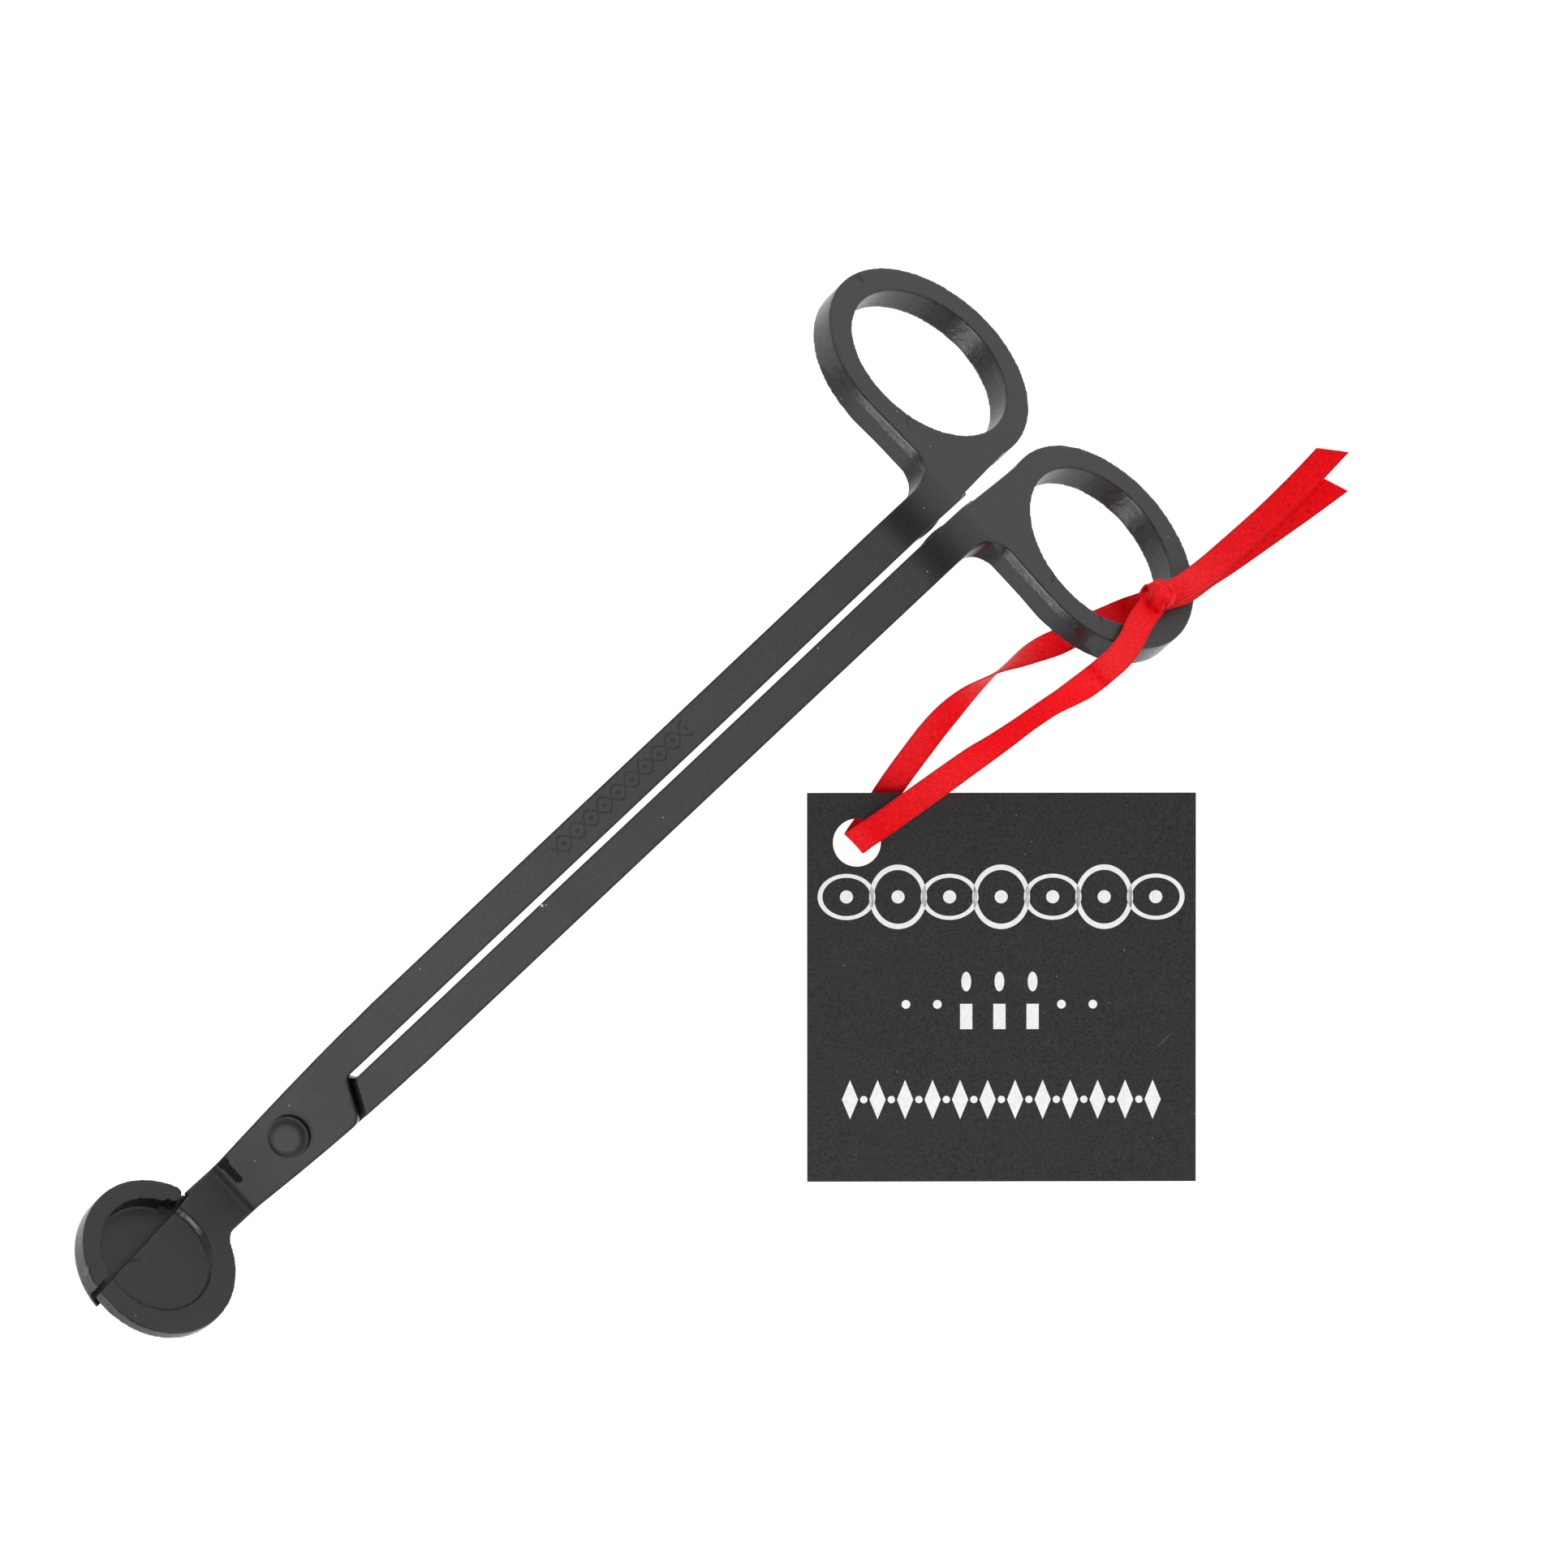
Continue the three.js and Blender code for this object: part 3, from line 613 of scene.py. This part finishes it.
def woven_strip(name, rows, width, thickness, cut=0.0, dome=0.0):
    """A thin ribbon along the rows; cut slants its last end, in ribbon widths."""
    line, length = smooth_line(rows)
    columns = 9
    mesh = bmesh.new()
    uv = mesh.loops.layers.uv.new("weave")
    places = {}
    grid = []
    for i, point in enumerate(line):
        ahead = line[min(i + 1, len(line) - 1)].xyz - line[max(i - 1, 0)].xyz
        along = ahead.normalized()
        side = Vector((0, 1, 0))
        side = (side - along * side.dot(along)).normalized()
        side = Quaternion(along, math.radians(point.w)) @ side
        up = along.cross(side)
        row = []
        for j in range(columns):
            u = j / (columns - 1)
            reach = (u - 0.5) * width
            bow = dome * (1 - (2 * u - 1) ** 2) * width
            shift = cut * width * (u - 0.5) * max(0, (i / (len(line) - 1) - 0.7) / 0.3)
            ripple = 0.012 * math.sin(i * 0.55 + 3 * u) * width * dome * 8
            place = point.xyz + side * reach + up * (bow + ripple) + along * shift
            edge = 0.6 if j in (0, columns - 1) else 1.0
            row.append((place, up * thickness / 2 * edge, u, (length * i / (len(line) - 1) + shift) / MM))
        grid.append(row)
    rings = []
    for row in grid:
        top = [mesh.verts.new(p + h) for p, h, u, v in row]
        bottom = [mesh.verts.new(p - h) for p, h, u, v in reversed(row)]
        rings.append(top + bottom)
        for vert, (p, h, u, v) in zip(top + bottom, row + row[::-1]):
            places[vert] = (u, v)
    size = 2 * columns
    faces = []
    for a, b in zip(rings, rings[1:]):
        for j in range(size):
            faces.append(mesh.faces.new((a[j], a[(j + 1) % size], b[(j + 1) % size], b[j])))
    for ring, turn in ((rings[0], -1), (rings[-1], 1)):
        for j in range(columns - 1):
            quad = (ring[j], ring[j + 1], ring[size - 2 - j], ring[size - 1 - j])
            faces.append(mesh.faces.new(quad if turn < 0 else quad[::-1]))
    bmesh.ops.recalc_face_normals(mesh, faces=mesh.faces)
    for face in mesh.faces:
        for loop in face.loops:
            loop[uv].uv = places[loop.vert]
    data = bpy.data.meshes.new(name)
    mesh.to_mesh(data)
    mesh.free()
    piece = bpy.data.objects.new(name, data)
    bpy.context.scene.collection.objects.link(piece)
    activate(piece)
    bpy.ops.object.shade_smooth_by_angle(angle=math.radians(40))
    return piece, [p.xyz for p in line], length


class TRIMMER_OT_ribbon(bpy.types.Operator):
    """Lay the satin ribbon: its loop through ring and card, its knot and its two ends"""

    bl_idname = "trimmer.ribbon"
    bl_label = "Ribbon"

    def execute(self, context):
        finish = context.scene.trimmer_ribbon
        satin = red_satin(finish.colour)
        knot = self.knot(finish)
        self.dress(knot, "ribbon_knot", satin)
        for name, rows, cut, far_end, helpers in (
            ("loop", LOOP, 0.0, "knot", [knot]),
            ("tail_upper", UPPER_TAIL, -0.75, "bare", []),
            ("tail_lower", LOWER_TAIL, -0.5, "bare", []),
        ):
            piece, path, length = woven_strip(
                "satin_" + name, rows, finish.width, finish.thickness, cut, 0.03
            )
            self.dress(piece, "ribbon_" + name, satin)
        return {"FINISHED"}

    def dress(self, piece, node, satin):
        give(piece, satin)
        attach(piece, "lower_body")
        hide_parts(node)

    def knot(self, finish):
        """Two crossing wraps of the ribbon round its gathered ends."""
        pieces = []
        axis = Vector((0.74, -0.2, -0.62)).normalized()
        side = Vector((0, 1, 0))
        side = (side - axis * side.dot(axis)).normalized()
        up = axis.cross(side)
        for index, (lean, radius, shift, width) in enumerate(
            ((24, 1.55, 0.35, 0.86), (-30, 1.7, -0.5, 0.8), (62, 1.3, 0.1, 0.7))
        ):
            tilt = math.radians(lean)
            lean_axis = (axis * math.cos(tilt) + side * math.sin(tilt)).normalized()
            a = (side - lean_axis * side.dot(lean_axis)).normalized()
            b = lean_axis.cross(a)
            centre = KNOT_PLACE + axis * shift * MM
            frame_axes = (a, b, lean_axis)
            pieces.append(self.wrap(f"wrap_{index}", centre, frame_axes, radius * MM, finish, width))
        bpy.ops.mesh.primitive_uv_sphere_add(segments=32, ring_count=20, radius=1)
        core = bpy.context.active_object
        core.name = "satin_knot"
        core.scale = (2.3 * MM, 1.35 * MM, 1.35 * MM)
        core.rotation_mode = "QUATERNION"
        core.rotation_quaternion = axis.to_track_quat("X", "Z")
        core.location = KNOT_PLACE
        apply_place(core)
        if not core.data.uv_layers:
            core.data.uv_layers.new(name="weave")
        core.data.uv_layers[0].name = "weave"
        for loop in core.data.uv_layers["weave"].data:
            loop.uv = (loop.uv[0] * 3, loop.uv[1] * 3)
        activate(core)
        for piece in pieces:
            piece.select_set(True)
        bpy.ops.object.join()
        core.name = "satin_knot"
        bpy.ops.object.shade_smooth_by_angle(angle=math.radians(50))
        return core

    def wrap(self, name, centre, frame_axes, radius, finish, share):
        """One crumpled turn of ribbon round the knot."""
        a, b, axis = frame_axes
        turns, columns = 56, 7
        mesh = bmesh.new()
        uv = mesh.loops.layers.uv.new("weave")
        rings, places = [], {}
        for i in range(turns):
            angle = 2 * math.pi * i / turns
            out = a * math.cos(angle) + b * math.sin(angle)
            wobble = 0.12 * math.sin(3 * angle + radius / MM) + 0.06 * math.sin(7 * angle)
            ring = []
            for side in (1, -1):
                for j in range(columns) if side > 0 else reversed(range(columns)):
                    u = j / (columns - 1)
                    crease = 0.09 * math.cos(u * 4 * math.pi + 2 * angle)
                    reach = radius * (1 + wobble * 0.6 + crease) + finish.thickness * side * 0.7
                    reach -= (2 * u - 1) ** 2 * 0.34 * radius
                    across = axis * ((u - 0.5) * share * finish.width + 0.2 * MM * math.sin(2 * angle))
                    vert = mesh.verts.new(centre + out * reach + across)
                    places[vert] = (u, angle * radius / MM)
                    ring.append(vert)
            rings.append(ring)
        size = 2 * columns
        for i in range(turns):
            x, y = rings[i], rings[(i + 1) % turns]
            for j in range(size):
                mesh.faces.new((x[j], x[(j + 1) % size], y[(j + 1) % size], y[j]))
        bmesh.ops.recalc_face_normals(mesh, faces=mesh.faces)
        for face in mesh.faces:
            for loop in face.loops:
                loop[uv].uv = places[loop.vert]
        data = bpy.data.meshes.new(name)
        mesh.to_mesh(data)
        mesh.free()
        piece = bpy.data.objects.new(name, data)
        bpy.context.scene.collection.objects.link(piece)
        return piece


# ---- steel ----


class TRIMMER_OT_arms(bpy.types.Operator):
    """Finish the two forged arms"""

    bl_idname = "trimmer.arms"
    bl_label = "Arms"

    def execute(self, context):
        finish = context.scene.trimmer_steel
        for node, body, etched in (("lower_arm", "lower_body", False), ("upper_arm", "upper_body", True)):
            piece = rounded_copy(node.replace("arm", "forging"), node, finish.edge_rounding)
            give(piece, satin_steel(finish.steel_colour, finish.wall_colour, etched))
            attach(piece, body)
            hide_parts(node)
        return {"FINISHED"}


class TRIMMER_OT_rivet(bpy.types.Operator):
    """Finish the pivot rivet"""

    bl_idname = "trimmer.rivet"
    bl_label = "Rivet"

    def execute(self, context):
        finish = context.scene.trimmer_steel
        piece = rounded_copy("domed_rivet", "pivot_rivet", 0.1 * MM)
        give(piece, satin_steel(finish.steel_colour, finish.wall_colour))
        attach(piece, "lower_body")
        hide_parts("pivot_rivet")
        return {"FINISHED"}


# ---- tag ----


def card_place():
    """From the card's own frame, its origin at the resting corner, to the row's."""
    tilt = Matrix.Rotation(CARD_TILT, 4, Vector((1, 1, 0)).normalized())
    return Matrix.Translation(CARD_CORNER) @ Matrix.Rotation(CARD_TURN, 4, "Z") @ tilt


class TRIMMER_OT_tag(bpy.types.Operator):
    """Finish the card tag and print its ornament"""

    bl_idname = "trimmer.tag"
    bl_label = "Card tag"

    def execute(self, context):
        finish = context.scene.trimmer_card
        card = frame["nodes"]["hang_tag"]
        give(card, black_card(finish.colour))
        parts = [*self.chain(), *self.candles(), *self.drops()]
        for part in parts:
            apply_place(part)
        activate(parts[0])
        for part in parts[1:]:
            part.select_set(True)
        bpy.ops.object.join()
        ornament = bpy.context.active_object
        ornament.name = "printed_ornament"
        ornament.data.transform(card_place())
        give(ornament, white_ink(finish.ink))
        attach(ornament, "tag_body")
        return {"FINISHED"}

    def patch(self, x, y, radius, stretch=(1, 1), sides=32):
        """A flat printed patch, millimetres from the card's resting corner."""
        deselect()
        bpy.ops.mesh.primitive_cylinder_add(
            vertices=sides,
            radius=radius * MM,
            depth=0.03 * MM,
            location=(x * MM, y * MM, CARD_THICKNESS + 0.005 * MM),
        )
        part = bpy.context.active_object
        part.scale = (stretch[0], stretch[1], 1)
        return part

    def bar(self, x, y, width, height):
        """A printed rectangle."""
        part = self.patch(x, y, 0.5 * math.sqrt(2), sides=4)
        activate(part)
        bpy.ops.object.mode_set(mode="EDIT")
        bpy.ops.mesh.select_all(action="SELECT")
        bpy.ops.transform.rotate(value=math.pi / 4, orient_axis="Z", center_override=part.location)
        bpy.ops.object.mode_set(mode="OBJECT")
        part.scale = (width, height, 1)
        return part

    def hoop(self, x, y, radius, line, stretch=(1, 1)):
        """A printed ring: a patch with its middle taken out."""
        part = self.patch(x, y, radius, stretch, 48)
        cutter = self.patch(x, y, radius - line, stretch, 48)
        cutter.scale = (stretch[0], stretch[1], 3)
        hole = part.modifiers.new("hole", "BOOLEAN")
        hole.operation = "DIFFERENCE"
        hole.object = cutter
        hole.solver = "EXACT"
        apply_modifiers(part)
        bpy.data.objects.remove(cutter)
        return part

    def chain(self):
        """The top band: linked hoops with a bead in each."""
        parts = []
        for index in range(7):
            x = -40.0 + index * 5.9
            parts.append(self.hoop(x, 32.6, 3.3, 0.55, (1.0, 1.12 if index % 2 else 0.8)))
            parts.append(self.patch(x, 32.6, 0.75))
        return parts

    def candles(self):
        """The middle band: three candles with flames, between two dots."""
        parts = [self.patch(x, 20.3, 0.5) for x in (-33.2, -29.6, -15.4, -11.8)]
        for x in (-26.3, -22.5, -18.7):
            parts.append(self.bar(x, 18.9, 1.4, 2.9))
            parts.append(self.patch(x, 22.9, 0.9, (0.62, 1.25)))
        return parts

    def drops(self):
        """The bottom band: a row of diamonds and dots."""
        parts = []
        for index in range(12):
            x = -39.6 + index * 3.15
            parts.append(self.patch(x, 9.4, 1.5, (0.62, 1.5), 4))
            if index < 11:
                parts.append(self.patch(x + 1.575, 9.4, 0.42))
        return parts


# ---- panel and main ----

OPERATORS = (
    TRIMMER_OT_stage,
    TRIMMER_OT_ribbon,
    TRIMMER_OT_arms,
    TRIMMER_OT_rivet,
    TRIMMER_OT_tag,
)


class TRIMMER_PT_panel(bpy.types.Panel):
    bl_label = "Wick trimmer"
    bl_space_type = "VIEW_3D"
    bl_region_type = "UI"
    bl_category = "Trimmer"

    def draw(self, context):
        for operator in OPERATORS:
            self.layout.operator(operator.bl_idname)
        for group in (context.scene.trimmer_steel, context.scene.trimmer_ribbon, context.scene.trimmer_card):
            for name in group.bl_rna.properties.keys():
                if name not in ("rna_type", "name"):
                    self.layout.prop(group, name)


GROUPS = {"trimmer_steel": TrimmerFinish, "trimmer_ribbon": RibbonFinish, "trimmer_card": CardFinish}


def register():
    for cls in (*GROUPS.values(), *OPERATORS, TRIMMER_PT_panel):
        bpy.utils.register_class(cls)
    for name, cls in GROUPS.items():
        setattr(bpy.types.Scene, name, PointerProperty(type=cls))


def unregister():
    for name in GROUPS:
        delattr(bpy.types.Scene, name)
    for cls in reversed((*GROUPS.values(), *OPERATORS, TRIMMER_PT_panel)):
        bpy.utils.unregister_class(cls)


def main():
    register()
    for operator in OPERATORS:
        group, name = operator.bl_idname.split(".")
        getattr(getattr(bpy.ops, group), name)()


if __name__ == "__main__":
    main()
